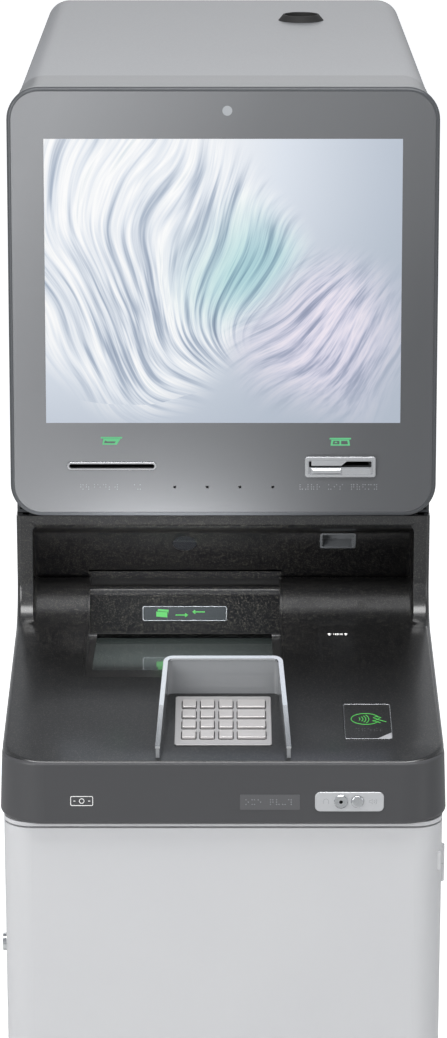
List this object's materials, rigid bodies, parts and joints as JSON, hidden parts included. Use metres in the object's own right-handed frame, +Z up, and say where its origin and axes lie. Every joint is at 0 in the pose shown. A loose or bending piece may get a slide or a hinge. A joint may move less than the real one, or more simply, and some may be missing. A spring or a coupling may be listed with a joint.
{
  "type": "automated teller machine",
  "caption": "Floor-standing cash machine: tilted touch display, sloping console with key pad, shield and cash shutter, over a cabinet with a rear-door safe.",
  "frame": {"origin": "on the floor, at the centre of the cabinet's footprint", "axes": "+X to the right of someone who faces the machine, +Y to its rear, +Z up"},
  "size_m": [0.454, 1.1503, 1.457],
  "materials": {
    "cabinet_paint": "light grey powder coat",
    "hood_paint": "grey powder coat",
    "safe_steel": "dark grey paint on steel",
    "plinth_steel": "black powder coat",
    "zinc_steel": "zinc plated",
    "console_plastic": "dark sparkle paint on moulded plastic",
    "apron_plastic": "satin grey moulding",
    "ring_plastic": "satin grey moulding",
    "display_glass": "printed glass with a clear picture area",
    "display_unit": "sheet metal back of a panel",
    "shield_gloss": "glossy moulding",
    "bright_trim": "bright plated",
    "pad_steel": "brushed stainless steel",
    "sound_plate": "satin silver",
    "window_gloss": "black window",
    "shutter_gloss": "dark gloss",
    "black_rubber": "matt",
    "inner_plastic": "moulded",
    "cassette_plastic": "moulded",
    "paper": "thermal paper"
  },
  "bodies": {
    "root": {"base_frame": "plinth_steel", "cabinet_sides": "cabinet_paint", "cabinet_deck": "cabinet_paint", "door_hinges": "cabinet_paint", "safe_body": "safe_steel", "safe_hinges": "zinc_steel", "cash_cassettes": "cassette_plastic", "top_hood": "hood_paint", "service_hinges": "zinc_steel", "cable_grommet": "black_rubber", "display_bezel": "ring_plastic", "front_glass": "display_glass", "lcd_module": "display_unit", "webcam": "inner_plastic", "display_collar": "ring_plastic", "receipt_bezel": "bright_trim", "receipt_printer": "inner_plastic", "card_bezel": "bright_trim", "card_reader": "inner_plastic", "console_shell": "console_plastic", "apron": "apron_plastic", "jack_plate": "sound_plate", "headphone_jack": "bright_trim", "cash_bezel": "console_plastic", "cash_module": "zinc_steel", "label_window": "window_gloss", "camera_window": "window_gloss", "scanner_bezel": "window_gloss", "pinpad_body": "pad_steel", "pin_shield": "shield_gloss", "shield_trim": "bright_trim", "contactless_reader": "window_gloss", "control_pc": "display_unit"},
    "front_door": {"front_door": "cabinet_paint"},
    "door_lock": {"door_lock": "bright_trim"},
    "safe_door": {"safe_door": "safe_steel"},
    "safe_handle": {"safe_handle": "zinc_steel"},
    "safe_bolt_bar": {"safe_bolt_bar": "zinc_steel"},
    "lock_dial": {"lock_dial": "bright_trim"},
    "service_door": {"service_door": "hood_paint"},
    "service_lock": {"service_lock": "bright_trim"},
    "cash_shutter": {"cash_shutter": "shutter_gloss"},
    "volume_button": {"volume_button": "bright_trim"},
    "paper_roll": {"paper_roll": "paper"},
    "key_blank": {"key_blank": "pad_steel"},
    "key_0": {"key_0": "pad_steel"},
    "key_double_zero": {"key_double_zero": "pad_steel"},
    "key_enter": {"key_enter": "pad_steel"},
    "key_7": {"key_7": "pad_steel"},
    "key_8": {"key_8": "pad_steel"},
    "key_9": {"key_9": "pad_steel"},
    "key_help": {"key_help": "pad_steel"},
    "key_4": {"key_4": "pad_steel"},
    "key_5": {"key_5": "pad_steel"},
    "key_6": {"key_6": "pad_steel"},
    "key_clear": {"key_clear": "pad_steel"},
    "key_1": {"key_1": "pad_steel"},
    "key_2": {"key_2": "pad_steel"},
    "key_3": {"key_3": "pad_steel"},
    "key_cancel": {"key_cancel": "pad_steel"}
  },
  "joints": [
    {"name": "front_door_swing", "type": "hinge", "parent": "root", "child": "front_door", "pos_m": [0.22, -0.52075, 0.4], "axis": [0, 0, 1], "range_deg": [0, 110]},
    {"name": "door_lock_turn", "type": "hinge", "parent": "root", "child": "door_lock", "pos_m": [-0.221, -0.507, 0.62], "axis": [1, 0, 0], "range_deg": [0, 90]},
    {"name": "safe_door_swing", "type": "hinge", "parent": "root", "child": "safe_door", "pos_m": [0.196, 0.561, 0.4], "axis": [0, 0, -1], "range_deg": [0, 100]},
    {"name": "safe_handle_turn", "type": "hinge", "parent": "safe_door", "child": "safe_handle", "pos_m": [-0.11, 0.56, 0.43], "axis": [0, 1, 0], "range_deg": [0, 90]},
    {"name": "safe_bolt_slide", "type": "slide", "parent": "safe_door", "child": "safe_bolt_bar", "axis": [-1, 0, 0], "range_m": [0, 0.01]},
    {"name": "lock_dial_turn", "type": "hinge", "parent": "safe_door", "child": "lock_dial", "pos_m": [-0.04, 0.56, 0.43], "axis": [0, 1, 0], "continuous": true},
    {"name": "service_door_swing", "type": "hinge", "parent": "root", "child": "service_door", "pos_m": [0.193, 0.561, 1.1], "axis": [0, 0, -1], "range_deg": [0, 100]},
    {"name": "service_lock_turn", "type": "hinge", "parent": "service_door", "child": "service_lock", "pos_m": [-0.166, 0.557, 1.115], "axis": [0, -1, 0], "range_deg": [0, 90]},
    {"name": "cash_shutter_slide", "type": "slide", "parent": "root", "child": "cash_shutter", "axis": [0, 0.9977, -0.0677], "range_m": [0, 0.145]},
    {"name": "volume_button_press", "type": "slide", "parent": "root", "child": "volume_button", "axis": [0, 0.9992, -0.0387], "range_m": [0, 0.0015], "stiffness_N_per_m": 800},
    {"name": "paper_roll_spin", "type": "hinge", "parent": "root", "child": "paper_roll", "pos_m": [-0.1187, -0.04, 1.075], "axis": [1, 0, 0], "continuous": true},
    {"name": "key_blank_press", "type": "slide", "parent": "root", "child": "key_blank", "axis": [0, 0.1736, -0.9848], "range_m": [0, 0.002], "stiffness_N_per_m": 300},
    {"name": "key_0_press", "type": "slide", "parent": "root", "child": "key_0", "axis": [0, 0.1736, -0.9848], "range_m": [0, 0.002], "stiffness_N_per_m": 300},
    {"name": "key_double_zero_press", "type": "slide", "parent": "root", "child": "key_double_zero", "axis": [0, 0.1736, -0.9848], "range_m": [0, 0.002], "stiffness_N_per_m": 300},
    {"name": "key_enter_press", "type": "slide", "parent": "root", "child": "key_enter", "axis": [0, 0.1736, -0.9848], "range_m": [0, 0.002], "stiffness_N_per_m": 300},
    {"name": "key_7_press", "type": "slide", "parent": "root", "child": "key_7", "axis": [0, 0.1736, -0.9848], "range_m": [0, 0.002], "stiffness_N_per_m": 300},
    {"name": "key_8_press", "type": "slide", "parent": "root", "child": "key_8", "axis": [0, 0.1736, -0.9848], "range_m": [0, 0.002], "stiffness_N_per_m": 300},
    {"name": "key_9_press", "type": "slide", "parent": "root", "child": "key_9", "axis": [0, 0.1736, -0.9848], "range_m": [0, 0.002], "stiffness_N_per_m": 300},
    {"name": "key_help_press", "type": "slide", "parent": "root", "child": "key_help", "axis": [0, 0.1736, -0.9848], "range_m": [0, 0.002], "stiffness_N_per_m": 300},
    {"name": "key_4_press", "type": "slide", "parent": "root", "child": "key_4", "axis": [0, 0.1736, -0.9848], "range_m": [0, 0.002], "stiffness_N_per_m": 300},
    {"name": "key_5_press", "type": "slide", "parent": "root", "child": "key_5", "axis": [0, 0.1736, -0.9848], "range_m": [0, 0.002], "stiffness_N_per_m": 300},
    {"name": "key_6_press", "type": "slide", "parent": "root", "child": "key_6", "axis": [0, 0.1736, -0.9848], "range_m": [0, 0.002], "stiffness_N_per_m": 300},
    {"name": "key_clear_press", "type": "slide", "parent": "root", "child": "key_clear", "axis": [0, 0.1736, -0.9848], "range_m": [0, 0.002], "stiffness_N_per_m": 300},
    {"name": "key_1_press", "type": "slide", "parent": "root", "child": "key_1", "axis": [0, 0.1736, -0.9848], "range_m": [0, 0.002], "stiffness_N_per_m": 300},
    {"name": "key_2_press", "type": "slide", "parent": "root", "child": "key_2", "axis": [0, 0.1736, -0.9848], "range_m": [0, 0.002], "stiffness_N_per_m": 300},
    {"name": "key_3_press", "type": "slide", "parent": "root", "child": "key_3", "axis": [0, 0.1736, -0.9848], "range_m": [0, 0.002], "stiffness_N_per_m": 300},
    {"name": "key_cancel_press", "type": "slide", "parent": "root", "child": "key_cancel", "axis": [0, 0.1736, -0.9848], "range_m": [0, 0.002], "stiffness_N_per_m": 300}
  ],
  "couplings": [
    {"joint": "safe_bolt_slide", "follows": "safe_handle_turn", "m_per_rad": 0.00636}
  ]
}
